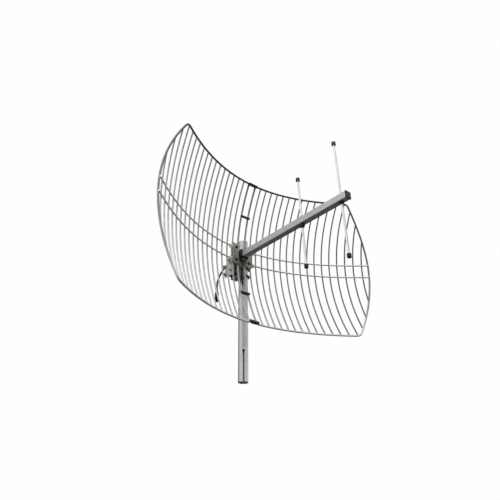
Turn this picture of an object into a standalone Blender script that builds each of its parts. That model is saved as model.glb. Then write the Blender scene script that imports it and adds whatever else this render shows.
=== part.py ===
"""Parabolic grid antenna on a mast stub: two welded grid halves, a boom with a dipole feed, a tilt
bracket and a mast clamp. Metres, +Z up, the boom points along -Y. The origin is the centre of the
mast's lower end."""

import math

import bmesh
import bpy
import numpy as np
from mathutils import Matrix, Vector

# Where the dish vertex lies, measured from the mast foot
DISH = Vector((-0.0545, -0.0520, 0.4800))

# Dish surface: y = -(x^2 / 4fx + z^2 / 4fz)
FOCAL_X = 0.285
FOCAL_Z = 0.300
HALF_HEIGHT = 0.300
EDGE_X_MID = 0.507  # half-width at z = 0
EDGE_X_END = 0.412  # half-width at the top and bottom edges
SEAM_X = 0.0168  # the seam rod of each half
WIRE_PITCH = 0.02762
WIRE_COUNT = 17  # wires of one half beside its seam rod
WIRE_R = 0.0029
FRAME_R = 0.0038
RIB_R = 0.0030
RIB_Z = 0.027
RIB_FRONT = 0.0052  # a rib's centre lies this far in front of the wires' surface
RIB_IN = 0.0490
CLIP_Z = (0.168, 0.2985)  # the seam clips' distances from the dish's middle
CLIP_HALF_Z = (0.0038, 0.0055)
CLIP_HALF_X = 0.0215
CLIP_BAR_Y = (-0.0090, -0.0047)  # the bar in front of the seam rods, from their middle
CLIP_KEY_Y = 0.0016
EDGE_ROUND = 0.016
SEAM_ROUND = 0.007

# Rib end tabs, clamp plates and hub
TAB_Y = (-0.0085, -0.0045)
TAB_X = (0.0225, 0.0620)
TAB_HALF_Z = 0.008
PLATE_Y = (-0.0118, -0.0088)
PLATE_X = (0.0175, 0.0470)
PLATE_HALF_Z = 0.043
HUB_Y = (0.0046, 0.0076)
HUB_HALF_X = 0.044
HUB_HALF_Z = 0.038
HUB_SLEEVE_Y = 0.018
HUB_SLEEVE_HALF = 0.0155
BOSS_R = 0.0065
BOSS_FRONT = -0.0042
RIB_BOLT_X = 0.031
RIB_BOLT_END = 0.0138
M6_R = 0.003
M6_HOLE_R = 0.0034
M6_HEX_R = 0.0057
M8_R = 0.004
M8_HOLE_R = 0.0044
M8_HEX_R = 0.0074
HEX_TURN = 30.0
GAP = 0.0003

# Boom
BOOM_HALF = 0.0125
BOOM_WALL = 0.002
BOOM_FRONT = -0.554
BOOM_REAR = 0.062
BOOM_WINDOW = BOOM_HALF + 0.0003
COLLAR_Y = (-0.0280, -0.0062)
COLLAR_HALF = 0.0162
COLLAR_BOLT_Y = -0.018
SLEEVE_BOLT_Y = 0.0130
BOOM_SCREW_Y = -0.245

# Feed
ROD_R = 0.004
ROD_HOLE_R = 0.0043
DIPOLE_Y = -0.344
DIPOLE_REACH = 0.175
SUB_Y = -0.527
SUB_REACH = (0.209, 0.224)  # below and above the boom's axis
CAP_R = 0.0078
CAP_LENGTH = 0.0145
CAP_OVER = 0.0085
FEED_LEAN = math.radians(2.8)  # both rods lean this far towards -X

# Tilt bracket and mast clamp
PIVOT_Y = 0.052
LOCK_Y = 0.037
CHEEK_IN = 0.0134
CHEEK_OUT = 0.0164
CHEEK_Y = (0.0225, 0.0815)
CHEEK_TOP_Y = (0.0290, 0.0615)
CHEEK_Z = (-0.069, -0.0165, 0.0125)
SLOT_HALF_ANGLE = 28.0
MAST_X = 0.0545
MAST_Y = 0.052
MAST_R = 0.0193
MAST_WALL = 0.002
MAST_TOP = 0.103  # above the dish vertex
BLOCK_HALF_Y = 0.030
BLOCK_Z = (-0.0680, -0.0125)
BLOCK_X = (0.0167, 0.0430)
UBOLT_Z = (-0.0235, -0.0560)
UBOLT_END = -0.034
UBOLT_R = MAST_R + GAP + M8_R  # from the mast's axis to the middle of the U-bolt's rod

STRAP_R = 0.0032

# Mast foot slot
SLIT_TOP = 0.116
SLIT_WIDTH = 0.005
SLIT_HOLE_R = 0.005
SLIT_TURN = -34.0  # degrees from -Y towards -X

# Coax pigtail
COAX_R = 0.0038
COAX_EXIT = Vector((0.0, 0.0725, -0.003))
CONNECTOR_Y = 0.1550
CONNECTOR_TOP = -0.0830

MATERIALS = {
    "galvanised": ((0.40, 0.40, 0.41), 0.75, 0.45),
    "aluminium": ((0.55, 0.55, 0.56), 0.85, 0.38),
    "bright_rod": ((0.80, 0.80, 0.80), 0.60, 0.35),
    "cast": ((0.36, 0.36, 0.34), 0.60, 0.60),
    "zinc": ((0.50, 0.49, 0.45), 0.80, 0.40),
    "black_steel": ((0.03, 0.03, 0.03), 0.30, 0.45),
    "black_plastic": ((0.02, 0.02, 0.02), 0.00, 0.50),
    "nickel": ((0.62, 0.60, 0.55), 0.90, 0.25),
}


def clear_scene():
    for obj in list(bpy.data.objects):
        bpy.data.objects.remove(obj, do_unlink=True)


def material(kind, name):
    colour, metallic, roughness = MATERIALS[kind]
    made = bpy.data.materials.new(name)
    made.use_nodes = True
    shader = made.node_tree.nodes["Principled BSDF"]
    shader.inputs["Base Color"].default_value = (*colour, 1.0)
    shader.inputs["Metallic"].default_value = metallic
    shader.inputs["Roughness"].default_value = roughness
    return made


def new_object(name, bm, kind=None):
    """An object of this mesh, whose coordinates are measured from the dish vertex."""
    bmesh.ops.recalc_face_normals(bm, faces=bm.faces)
    mesh = bpy.data.meshes.new(name)
    bm.to_mesh(mesh)
    bm.free()
    obj = bpy.data.objects.new(name, mesh)
    obj.location = DISH
    bpy.context.scene.collection.objects.link(obj)
    if kind:
        mesh.materials.append(material(kind, name))
    return obj


def box(x, y, z):
    """A box between the two values given for each axis."""
    bm = bmesh.new()
    middle = Vector([(side[0] + side[1]) / 2 for side in (x, y, z)])
    size = [abs(side[1] - side[0]) for side in (x, y, z)]
    bmesh.ops.create_cube(bm, size=1.0, matrix=Matrix.Translation(middle) @ Matrix.Diagonal((*size, 1.0)))
    return bm


def rod(start, end, radius, sides=16, turn=0.0):
    """A cylinder or, with few sides, a prism."""
    start = Vector(start)
    end = Vector(end)
    along = end - start
    bm = bmesh.new()
    place = (
        Matrix.Translation((start + end) / 2)
        @ along.to_track_quat("Z", "Y").to_matrix().to_4x4()
        @ Matrix.Rotation(math.radians(turn), 4, "Z")
    )
    bmesh.ops.create_cone(
        bm,
        cap_ends=True,
        segments=sides,
        radius1=radius,
        radius2=radius,
        depth=along.length,
        matrix=place,
    )
    return bm


def prism(outline, low, high, axis):
    """An outline extruded along X or Z. Its points are (y, z) for X and (x, y) for Z."""
    bm = bmesh.new()
    rings = []
    for level in (low, high):
        points = [(level, *p) if axis == "X" else (*p, level) for p in outline]
        rings.append([bm.verts.new(p) for p in points])
    bm.faces.new(rings[0])
    bm.faces.new(rings[1])
    for i in range(len(outline)):
        j = (i + 1) % len(outline)
        bm.faces.new((rings[0][i], rings[0][j], rings[1][j], rings[1][i]))
    return bm


def lathe(profile, start, direction, sides=20):
    """A solid of revolution: profile is (distance along, radius) from start."""
    start = Vector(start)
    turn = Vector(direction).to_track_quat("Z", "Y").to_matrix()
    bm = bmesh.new()
    rings = []
    for along, radius in profile:
        ring = []
        for i in range(sides):
            angle = 2 * math.pi * i / sides
            spot = Vector((radius * math.cos(angle), radius * math.sin(angle), along))
            ring.append(bm.verts.new(start + turn @ spot))
        rings.append(ring)
    bm.faces.new(rings[0])
    bm.faces.new(rings[-1])
    for low, high in zip(rings, rings[1:]):
        for i in range(sides):
            j = (i + 1) % sides
            bm.faces.new((low[i], low[j], high[j], high[i]))
    return bm


def sweep(points, radius, sides, closed=False, up=(0, 0, 1)):
    """A round bar along the points, capped where it is open."""
    points = [Vector(p) for p in points]
    count = len(points)
    bm = bmesh.new()
    rings = []
    across = Vector(up)
    for i, point in enumerate(points):
        if closed:
            before = (point - points[i - 1]).normalized()
            after = (points[(i + 1) % count] - point).normalized()
        else:
            before = (point - points[max(i - 1, 0)]).normalized() if i else None
            after = (points[i + 1] - point).normalized() if i < count - 1 else None
            before = before or after
            after = after or before
        along = (before + after).normalized()
        across = (across - along * across.dot(along)).normalized()
        other = along.cross(across)
        stretch = 1 / max(along.dot(before), 0.5)
        bend = after - before
        bend = bend.normalized() if bend.length > 1e-6 else None
        ring = []
        for k in range(sides):
            angle = 2 * math.pi * (k + 0.5) / sides
            spot = across * math.cos(angle) + other * math.sin(angle)
            if bend:
                spot = spot + bend * spot.dot(bend) * (stretch - 1)
            ring.append(bm.verts.new(point + spot * radius))
        rings.append(ring)
    pairs = list(zip(rings, rings[1:]))
    if closed:
        pairs.append((rings[-1], rings[0]))
    else:
        bm.faces.new(rings[0])
        bm.faces.new(rings[-1])
    for low, high in pairs:
        for i in range(sides):
            j = (i + 1) % sides
            bm.faces.new((low[i], low[j], high[j], high[i]))
    return bm


def combine(obj, bm, operation):
    """Joins a shape to an object, or cuts it away."""
    tool = new_object("tool", bm)
    modifier = obj.modifiers.new("combine", "BOOLEAN")
    modifier.operation = operation
    modifier.solver = "EXACT"
    modifier.object = tool
    bpy.context.view_layer.update()
    graph = bpy.context.evaluated_depsgraph_get()
    result = bpy.data.meshes.new_from_object(obj.evaluated_get(graph))
    obj.modifiers.remove(modifier)
    old = obj.data
    obj.data = result
    result.name = obj.name
    bpy.data.meshes.remove(old)
    bpy.data.objects.remove(tool, do_unlink=True)


def cut(obj, *shapes):
    for bm in shapes:
        combine(obj, bm, "DIFFERENCE")


def weld(obj, *shapes):
    for bm in shapes:
        combine(obj, bm, "UNION")


def smooth(obj, angle=35.0):
    """Shades round faces smooth and leaves the sharp edges sharp."""
    mesh = obj.data
    mesh.polygons.foreach_set("use_smooth", [True] * len(mesh.polygons))
    mesh.set_sharp_from_angle(angle=math.radians(angle))


def surface(x, z, front=0.0):
    """The point of the dish surface at x and z, or one this far in front of it."""
    return Vector((x, -(x * x / (4 * FOCAL_X) + z * z / (4 * FOCAL_Z)) - front, z))


def edge_x(z):
    return EDGE_X_MID - (EDGE_X_MID - EDGE_X_END) * (z / HALF_HEIGHT) ** 2


def edge_z(x):
    """How far up a wire at x reaches."""
    if x < EDGE_X_END:
        return HALF_HEIGHT
    return HALF_HEIGHT * math.sqrt((EDGE_X_MID - x) / (EDGE_X_MID - EDGE_X_END))


def rounded(corner, before, after, radius, steps=3):
    """Points that round a corner between two neighbours, in x and z."""
    corner, before, after = (np.array(p) for p in (corner, before, after))
    first = (before - corner) / np.linalg.norm(before - corner)
    last = (after - corner) / np.linalg.norm(after - corner)
    start = corner + first * radius
    end = corner + last * radius
    made = []
    for i in range(steps + 1):
        t = i / steps
        made.append(tuple((1 - t) ** 2 * start + 2 * t * (1 - t) * corner + t * t * end))
    return made


def frame_outline():
    """The frame rod of one half, as (x, z), starting at the foot of its seam."""
    top = HALF_HEIGHT
    outline = rounded((SEAM_X, -top), (EDGE_X_END, -top), (SEAM_X, top), SEAM_ROUND)
    upward = [0.050, 0.110, CLIP_Z[0] - 0.008, CLIP_Z[0] + 0.008, 0.235, 0.275]
    outline += [(SEAM_X, z) for z in sorted([-z for z in upward] + upward)]
    outline += rounded((SEAM_X, top), (SEAM_X, -top), (EDGE_X_END, top), SEAM_ROUND)
    outline += [(x, top) for x in np.linspace(0.055, EDGE_X_END - 0.035, 10)]
    near = top * 0.9
    outline += rounded((EDGE_X_END, top), (SEAM_X, top), (edge_x(near), near), EDGE_ROUND)
    outline += [(edge_x(z), z) for z in np.linspace(top * 0.88, -top * 0.88, 15)]
    outline += rounded((EDGE_X_END, -top), (edge_x(near), -near), (SEAM_X, -top), EDGE_ROUND)
    outline += [(x, -top) for x in np.linspace(EDGE_X_END - 0.035, 0.055, 10)]
    return outline


def grid_half(name, side):
    """One welded half of the grid: frame rod, wires, two ribs and their end tabs."""
    points = [surface(side * x, z) for x, z in frame_outline()]
    obj = new_object(name, sweep(points, FRAME_R, 8, closed=True, up=(0, 1, 0)), "galvanised")
    for k in range(1, WIRE_COUNT + 1):
        x = SEAM_X + k * WIRE_PITCH
        reach = edge_z(x)
        line = [surface(side * x, z) for z in np.linspace(-reach, reach, 13)]
        weld(obj, sweep(line, WIRE_R, 6, up=(1, 0, 0)))
    outer = edge_x(RIB_Z)
    for z in (RIB_Z, -RIB_Z):
        line = [surface(side * x, z, RIB_FRONT) for x in np.linspace(RIB_IN, outer, 13)]
        weld(obj, sweep(line, RIB_R, 8, up=(0, 0, 1)))
        x_sides = sorted(side * x for x in TAB_X)
        weld(obj, box(x_sides, TAB_Y, (z - TAB_HALF_Z, z + TAB_HALF_Z)))
        hole = side * RIB_BOLT_X
        cut(obj, rod((hole, TAB_Y[0] - 0.004, z), (hole, TAB_Y[1] + 0.004, z), M6_HOLE_R, 12))
    smooth(obj)
    return obj


def seam_clip(name, z, half):
    """A bar in front of the two seam rods, with a key that fills the gap between them."""
    slope = -z / (2 * FOCAL_Z)
    key = SEAM_X - FRAME_R - GAP
    obj = new_object(name, box((-CLIP_HALF_X, CLIP_HALF_X), CLIP_BAR_Y, (-half, half)), "black_plastic")
    weld(obj, box((-key, key), (CLIP_BAR_Y[0] + 0.001, CLIP_KEY_Y), (-half + 0.0006, half - 0.0006)))
    turn = Matrix.Rotation(-math.atan(slope), 4, "X")
    obj.data.transform(Matrix.Translation(surface(SEAM_X, z) - Vector((SEAM_X, 0, 0))) @ turn)
    smooth(obj)
    return obj


def hex_bolt(name, head, end, radius, hex_r, head_length, kind="zinc"):
    """A bolt whose shank runs from under its head to its end."""
    head = Vector(head)
    end = Vector(end)
    along = (end - head).normalized()
    obj = new_object(name, rod(head, end, radius, 12), kind)
    weld(obj, rod(head - along * head_length, head + along * 0.0001, hex_r, 6, HEX_TURN))
    smooth(obj)
    return obj


def round_bolt(name, head, end, radius, head_r, head_length, kind="black_steel"):
    """A round-headed bolt with a socket in its head."""
    head = Vector(head)
    end = Vector(end)
    along = (end - head).normalized()
    profile = (
        (0, head_r * 0.75),
        (head_length * 0.35, head_r),
        (head_length, head_r),
        (head_length + 0.00001, radius),
        ((end - head).length + head_length, radius),
    )
    obj = new_object(name, lathe(profile, head - along * head_length, along, 14), kind)
    top = head - along * head_length
    cut(obj, rod(top - along * 0.001, top + along * head_length * 0.55, radius * 0.8, 6))
    smooth(obj)
    return obj


def nut(name, start, direction, radius, hex_r, thickness, kind="zinc"):
    """A hexagonal nut with a clear bore, from start along direction."""
    start = Vector(start)
    direction = Vector(direction)
    obj = new_object(name, rod(start, start + direction * thickness, hex_r, 6, HEX_TURN), kind)
    cut(obj, rod(start - direction * 0.002, start + direction * (thickness + 0.002), radius + 0.0002, 12))
    smooth(obj)
    return obj


# --- Grid and its centre -----------------------------------------------------


def build_grid():
    grid_half("grid_left", -1)
    grid_half("grid_right", 1)
    inner, outer = CLIP_Z
    slim, tall = CLIP_HALF_Z
    clips = (("top", outer, tall), ("upper", inner, slim), ("lower", -inner, slim), ("bottom", -outer, tall))
    for name, z, half in clips:
        seam_clip("seam_clip_" + name, z, half)


def build_hub():
    half = BOOM_WINDOW
    hub = new_object(
        "hub_plate",
        box((-HUB_HALF_X, HUB_HALF_X), HUB_Y, (-HUB_HALF_Z, HUB_HALF_Z)),
        "cast",
    )
    outer = HUB_SLEEVE_HALF
    weld(hub, box((-outer, outer), (HUB_Y[0] + 0.001, HUB_SLEEVE_Y), (-outer, outer)))
    for x in (-RIB_BOLT_X, RIB_BOLT_X):
        for z in (RIB_Z, -RIB_Z):
            weld(hub, rod((x, BOSS_FRONT, z), (x, HUB_Y[0] + 0.001, z), BOSS_R, 16))
            cut(hub, rod((x, BOSS_FRONT - 0.01, z), (x, HUB_Y[1] + 0.01, z), M6_HOLE_R, 12))
    cut(hub, box((-half, half), (-0.02, 0.03), (-half, half)))
    cut(hub, rod((0, SLEEVE_BOLT_Y, -0.03), (0, SLEEVE_BOLT_Y, 0.03), M6_HOLE_R, 12))
    smooth(hub)
    for name, side in (("left", -1), ("right", 1)):
        x_sides = sorted(side * x for x in PLATE_X)
        plate = new_object(
            "rib_clamp_" + name, box(x_sides, PLATE_Y, (-PLATE_HALF_Z, PLATE_HALF_Z)), "zinc"
        )
        rim = sorted((side * (PLATE_X[1] - 0.0025), side * PLATE_X[1]))
        weld(plate, box(rim, (PLATE_Y[0] - 0.003, PLATE_Y[1]), (-PLATE_HALF_Z, PLATE_HALF_Z)))
        x = side * RIB_BOLT_X
        for level, z in (("upper", RIB_Z), ("lower", -RIB_Z)):
            cut(plate, rod((x, -0.03, z), (x, 0.03, z), M6_HOLE_R, 12))
            under = PLATE_Y[0] - GAP
            round_bolt(f"rib_bolt_{name}_{level}", (x, under, z), (x, RIB_BOLT_END, z), M6_R, 0.0058, 0.0040)
            nut(f"rib_nut_{name}_{level}", (x, HUB_Y[1] + GAP, z), (0, 1, 0), M6_R, M6_HEX_R, 0.005)
        smooth(plate)
    collar = new_object(
        "boom_collar",
        box((-COLLAR_HALF, COLLAR_HALF), COLLAR_Y, (-COLLAR_HALF, COLLAR_HALF)),
        "black_steel",
    )
    cut(collar, box((-half, half), (-0.05, 0.0), (-half, half)))
    cut(collar, rod((0, COLLAR_BOLT_Y, -0.03), (0, COLLAR_BOLT_Y, 0.03), M6_HOLE_R, 12))
    smooth(collar)
    vertical_bolt("collar", COLLAR_BOLT_Y, COLLAR_HALF)
    vertical_bolt("sleeve", SLEEVE_BOLT_Y, HUB_SLEEVE_HALF)


def vertical_bolt(name, y, half):
    """A bolt down through the boom, with its head above and its nut below."""
    hex_bolt(name + "_bolt", (0, y, half + GAP), (0, y, -half - 0.009), M6_R, M6_HEX_R, 0.004)
    nut(name + "_nut", (0, y, -half - GAP), (0, 0, -1), M6_R, M6_HEX_R, 0.005)


# --- Boom and feed -------------------------------------------------------------


def on_rod(y, along):
    """The point of a feed rod's axis this far up it from the boom's axis."""
    return Vector((-math.sin(FEED_LEAN) * along, y, math.cos(FEED_LEAN) * along))


def build_boom():
    half = BOOM_HALF
    inner = half - BOOM_WALL
    boom = new_object("boom", box((-half, half), (BOOM_FRONT, BOOM_REAR), (-half, half)), "aluminium")
    cut(boom, box((-inner, inner), (BOOM_FRONT - 0.01, BOOM_REAR + 0.01), (-inner, inner)))
    for y in (COLLAR_BOLT_Y, SLEEVE_BOLT_Y):
        cut(boom, rod((0, y, -0.03), (0, y, 0.03), M6_HOLE_R, 12))
    for y in (DIPOLE_Y, SUB_Y):
        cut(boom, rod(on_rod(y, -0.03), on_rod(y, 0.03), ROD_HOLE_R, 16))
    for y in (PIVOT_Y, LOCK_Y):
        cut(boom, rod((-0.03, y, 0), (0.03, y, 0), M6_HOLE_R, 12))
    cut(boom, rod((0, BOOM_SCREW_Y, 0), (0, BOOM_SCREW_Y, 0.03), 0.0024, 12))
    smooth(boom)
    profile = ((0, 0.0040), (0.0018, 0.0048), (0.0028, 0.0048), (0.00281, 0.0020), (0.0088, 0.0020))
    screw = new_object(
        "boom_screw",
        lathe(profile, (0, BOOM_SCREW_Y, half + GAP + 0.0028), (0, 0, -1), 14),
        "black_steel",
    )
    smooth(screw)
    lip = (-half - 0.0006, half + 0.0006)
    cap = new_object(
        "boom_end_cap", box(lip, (BOOM_FRONT - 0.0038, BOOM_FRONT - GAP), lip), "black_plastic"
    )
    plug = inner - GAP
    weld(cap, box((-plug, plug), (BOOM_FRONT - 0.001, BOOM_FRONT + 0.012), (-plug, plug)))
    rear = new_object(
        "boom_rear_plug",
        box((-half, half), (BOOM_REAR + GAP, BOOM_REAR + 0.003), (-half, half)),
        "black_plastic",
    )
    weld(rear, box((-plug, plug), (BOOM_REAR - 0.005, BOOM_REAR + 0.001), (-plug, plug)))
    exit_z = COAX_EXIT.z
    weld(rear, rod((0, BOOM_REAR + 0.002, exit_z), (0, COAX_EXIT.y - GAP, exit_z), 0.0070, 16))
    smooth(rear)


def rod_cap(name, y, tip, direction):
    """A closed sleeve over the end of a rod."""
    profile = (
        (0, CAP_R),
        (CAP_LENGTH - 0.002, CAP_R),
        (CAP_LENGTH, CAP_R * 0.72),
    )
    start = on_rod(y, tip - direction * CAP_OVER)
    obj = new_object(name, lathe(profile, start, on_rod(0, direction), 16), "black_plastic")
    hollow = (on_rod(y, tip - direction * (CAP_OVER + 0.002)), on_rod(y, tip + direction * GAP))
    cut(obj, rod(*hollow, ROD_R + GAP, 16))
    smooth(obj)


def build_feed():
    half = BOOM_HALF
    for level, way in (("upper", 1), ("lower", -1)):
        start = on_rod(DIPOLE_Y, way * (half - 0.005))
        tip = on_rod(DIPOLE_Y, way * DIPOLE_REACH)
        arm = new_object("dipole_arm_" + level, rod(start, tip, ROD_R, 16), "bright_rod")
        smooth(arm)
        rod_cap("dipole_cap_" + level, DIPOLE_Y, way * DIPOLE_REACH, way)
    sub = new_object(
        "sub_reflector_rod",
        rod(on_rod(SUB_Y, -SUB_REACH[0]), on_rod(SUB_Y, SUB_REACH[1]), ROD_R, 16),
        "bright_rod",
    )
    smooth(sub)
    rod_cap("sub_cap_upper", SUB_Y, SUB_REACH[1], 1)
    rod_cap("sub_cap_lower", SUB_Y, -SUB_REACH[0], -1)
    for name, y, way, radius, height in (
        ("dipole_insulator_upper", DIPOLE_Y, 1, 0.0085, 0.006),
        ("dipole_insulator_lower", DIPOLE_Y, -1, 0.0100, 0.013),
        ("sub_grommet_upper", SUB_Y, 1, 0.0070, 0.004),
        ("sub_grommet_lower", SUB_Y, -1, 0.0085, 0.009),
    ):
        start = (0, y, way * (half + GAP))
        profile = ((0, radius), (height * 0.6, radius), (height, radius * 0.72))
        obj = new_object(name, lathe(profile, start, (0, 0, way), 16), "black_plastic")
        cut(obj, rod(on_rod(y, 0), on_rod(y, way * 0.05), ROD_R + GAP, 16))
        smooth(obj)
    block = new_object(
        "feed_terminal",
        box((-0.008, 0.008), (DIPOLE_Y - 0.010, DIPOLE_Y + 0.012), (-0.0065, 0.0065)),
        "black_plastic",
    )
    smooth(block)
    line = new_object(
        "feed_coax",
        rod((0, DIPOLE_Y + 0.0123, 0.0), (0, COLLAR_BOLT_Y - 0.006, 0.0), COAX_R, 12),
        "black_plastic",
    )
    smooth(line)


# --- Tilt bracket and clamp ----------------------------------------------------


def arc_slot(x_from, x_to):
    """The slot that the lock bolt slides in, round the pivot."""
    radius = PIVOT_Y - LOCK_Y
    outline = []
    for r, way in ((radius + M6_HOLE_R, 1), (radius - M6_HOLE_R, -1)):
        for i in range(9):
            angle = math.radians(180 + way * (-SLOT_HALF_ANGLE + 2 * SLOT_HALF_ANGLE * i / 8))
            outline.append((PIVOT_Y + r * math.cos(angle), r * math.sin(angle)))
    return prism(outline, x_from, x_to, "X")


def build_bracket():
    y_low, y_high = CHEEK_Y
    top_low, top_high = CHEEK_TOP_Y
    z_low, z_step, z_top = CHEEK_Z
    outline = (
        (y_low, z_low),
        (y_high, z_low),
        (y_high, z_step),
        (top_high, z_step + 0.008),
        (top_high, z_top - 0.006),
        (top_high - 0.006, z_top),
        (top_low + 0.006, z_top),
        (top_low, z_top - 0.006),
        (top_low, z_step + 0.008),
        (y_low, z_step + 0.002),
    )
    bracket = new_object("tilt_bracket", prism(outline, CHEEK_IN, CHEEK_OUT, "X"), "cast")
    weld(bracket, prism(outline, -CHEEK_OUT, -CHEEK_IN, "X"))
    web_y = (MAST_Y - 0.002, MAST_Y + 0.002)
    weld(bracket, box((-CHEEK_IN - 0.001, CHEEK_IN + 0.001), web_y, (z_low + 0.004, z_step - 0.002)))
    cut(bracket, rod((-0.03, PIVOT_Y, 0), (0.03, PIVOT_Y, 0), M6_HOLE_R, 12))
    cut(bracket, arc_slot(-0.03, 0.03))
    for y in (MAST_Y - UBOLT_R, MAST_Y + UBOLT_R):
        for z in UBOLT_Z:
            cut(bracket, rod((-0.03, y, z), (0.03, y, z), M8_HOLE_R, 12))
    smooth(bracket)
    for name, y in (("pivot", PIVOT_Y), ("lock", LOCK_Y)):
        hex_bolt(name + "_bolt", (CHEEK_OUT + GAP, y, 0), (-0.0265, y, 0), M6_R, M6_HEX_R, 0.004)
        nut(name + "_nut", (-CHEEK_OUT - GAP, y, 0), (-1, 0, 0), M6_R, M6_HEX_R, 0.005)


def build_clamp():
    """A toothed V block beside the mast, and two U-bolts that pull the mast into it."""
    back, front = BLOCK_X
    apex = MAST_X - (MAST_R + 0.0006) * math.sqrt(2)
    spread = front - apex
    teeth = 4
    outline = [(back, MAST_Y - BLOCK_HALF_Y), (front, MAST_Y - BLOCK_HALF_Y)]
    for way in (-1, 1):
        for i in range(teeth) if way < 0 else range(teeth - 1, -1, -1):
            corners = [(1 - i / teeth, 0.0), (1 - (i + 0.75) / teeth, 0.0012)]
            if way > 0:
                corners.reverse()
            for share, depth in corners:
                outline.append((apex + spread * share - depth, MAST_Y + way * spread * share))
        if way < 0:
            outline.append((apex - 0.0004, MAST_Y))
    outline += [(front, MAST_Y + BLOCK_HALF_Y), (back, MAST_Y + BLOCK_HALF_Y)]
    block = new_object("clamp_v_block", prism(outline, *BLOCK_Z, "Z"), "cast")
    for y in (MAST_Y - UBOLT_R, MAST_Y + UBOLT_R):
        for z in UBOLT_Z:
            cut(block, rod((back - 0.01, y, z), (front + 0.01, y, z), M8_HOLE_R, 12))
    smooth(block)
    for level, z in zip(("upper", "lower"), UBOLT_Z):
        path = [(UBOLT_END, MAST_Y - UBOLT_R, z)]
        for i in range(13):
            angle = math.pi * (i / 12 - 0.5)
            path.append((MAST_X + UBOLT_R * math.cos(angle), MAST_Y + UBOLT_R * math.sin(angle), z))
        path.append((UBOLT_END, MAST_Y + UBOLT_R, z))
        smooth(new_object("clamp_ubolt_" + level, sweep(path, M8_R - 0.0001, 12), "zinc"))
        for place, way in (("front", -1), ("rear", 1)):
            spot = (-CHEEK_OUT - GAP, MAST_Y + way * UBOLT_R, z)
            nut(f"clamp_nut_{place}_{level}", spot, (-1, 0, 0), M8_R, M8_HEX_R, 0.0065)


def build_strap():
    """The tail of a cable tie, hanging from its head in front of the tilt bracket."""
    path = (
        (0.0205, 0.0184, -0.0440),
        (0.0214, 0.0184, -0.0600),
        (0.0235, 0.0189, -0.0780),
        (0.0258, 0.0199, -0.0940),
        (0.0275, 0.0211, -0.1080),
    )
    strap = new_object("tie_strap", sweep(path, STRAP_R, 6, up=(1, 0, 0)), "black_plastic")
    weld(strap, box((0.0170, 0.0235), (0.0154, 0.0217), (-0.0470, -0.0370)))
    smooth(strap)


def build_mast():
    foot = -DISH.z
    axis = (MAST_X, MAST_Y)
    mast = new_object("mast", rod((*axis, foot), (*axis, MAST_TOP), MAST_R, 48), "aluminium")
    cut(mast, rod((*axis, foot - 0.01), (*axis, MAST_TOP + 0.01), MAST_R - MAST_WALL, 48))
    turn = math.radians(SLIT_TURN)
    out = Vector((math.sin(turn), -math.cos(turn), 0))
    centre = Vector((*axis, foot + SLIT_TOP))
    cut(mast, rod(centre, centre + out * 0.03, SLIT_HOLE_R, 16))
    half = SLIT_WIDTH / 2
    slit = box((-half, half), (-0.03, 0.0), (-0.02, SLIT_TOP))
    slit.transform(Matrix.Translation((*axis, foot)) @ Matrix.Rotation(turn, 4, "Z"))
    cut(mast, slit)
    smooth(mast)


# --- Coax pigtail ----------------------------------------------------------------


def smooth_route(knots, spacing):
    """Points a fixed distance apart along a smooth curve through the knots."""
    knots = [2 * Vector(knots[0]) - Vector(knots[1])] + [Vector(k) for k in knots]
    knots.append(2 * knots[-1] - knots[-2])
    fine = []
    for a, b, c, d in zip(knots, knots[1:], knots[2:], knots[3:]):
        for i in range(40):
            t = i / 40
            curve = 2 * b + (c - a) * t + (2 * a - 5 * b + 4 * c - d) * t * t
            fine.append(0.5 * (curve + (3 * b - a - 3 * c + d) * t**3))
    fine.append(knots[-2])
    along = [0.0]
    for p, q in zip(fine, fine[1:]):
        along.append(along[-1] + (q - p).length)
    count = max(2, round(along[-1] / spacing) + 1)
    wanted = np.linspace(0, along[-1], count)
    columns = [np.interp(wanted, along, [p[i] for p in fine]) for i in range(3)]
    return [Vector(p) for p in zip(*columns)]


def build_pigtail():
    end_z = CONNECTOR_TOP + GAP
    knots = (
        COAX_EXIT,
        (0, 0.0880, -0.0042),
        (0, 0.1100, -0.0125),
        (0, 0.1360, -0.0320),
        (0, 0.1518, -0.0560),
        (0, CONNECTOR_Y - 0.0002, -0.0725),
        (0, CONNECTOR_Y, end_z),
    )
    data = bpy.data.curves.new("coax_pigtail", "CURVE")
    data.dimensions = "3D"
    data.bevel_depth = COAX_R
    data.bevel_resolution = 2
    data.use_fill_caps = True
    spline = data.splines.new("POLY")
    points = smooth_route(knots, 2.5 * 2 * COAX_R / 3)
    spline.points.add(len(points) - 1)
    for spot, point in zip(spline.points, points):
        spot.co = (*point, 1.0)
    data.materials.append(material("black_plastic", "coax_pigtail"))
    cord = bpy.data.objects.new("coax_pigtail", data)
    cord.location = DISH
    bpy.context.scene.collection.objects.link(cord)
    top = (0, CONNECTOR_Y, CONNECTOR_TOP)
    down = (0, 0, -1)
    ferrule = new_object(
        "connector_ferrule",
        lathe(((0, 0.0050), (0.0010, 0.0056), (0.0150, 0.0056), (0.0165, 0.0050)), top, down, 16),
        "nickel",
    )
    smooth(ferrule)
    start = CONNECTOR_TOP - 0.0165 - GAP
    profile = (
        (0, 0.0066),
        (0.0060, 0.0066),
        (0.0062, 0.0082),
        (0.0160, 0.0082),
        (0.0162, 0.0070),
        (0.0180, 0.0070),
        (0.0182, 0.0079),
        (0.0420, 0.0079),
    )
    body = new_object("connector_body", lathe(profile, (0, CONNECTOR_Y, start), down, 20), "black_steel")
    cut(body, rod((0, CONNECTOR_Y, start - 0.033), (0, CONNECTOR_Y, start - 0.05), 0.0058, 20))
    weld(body, rod((0, CONNECTOR_Y, start - 0.032), (0, CONNECTOR_Y, start - 0.040), 0.0015, 8))
    smooth(body)


clear_scene()
build_grid()
build_hub()
build_boom()
build_feed()
build_bracket()
build_clamp()
build_strap()
build_mast()
build_pigtail()
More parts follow.
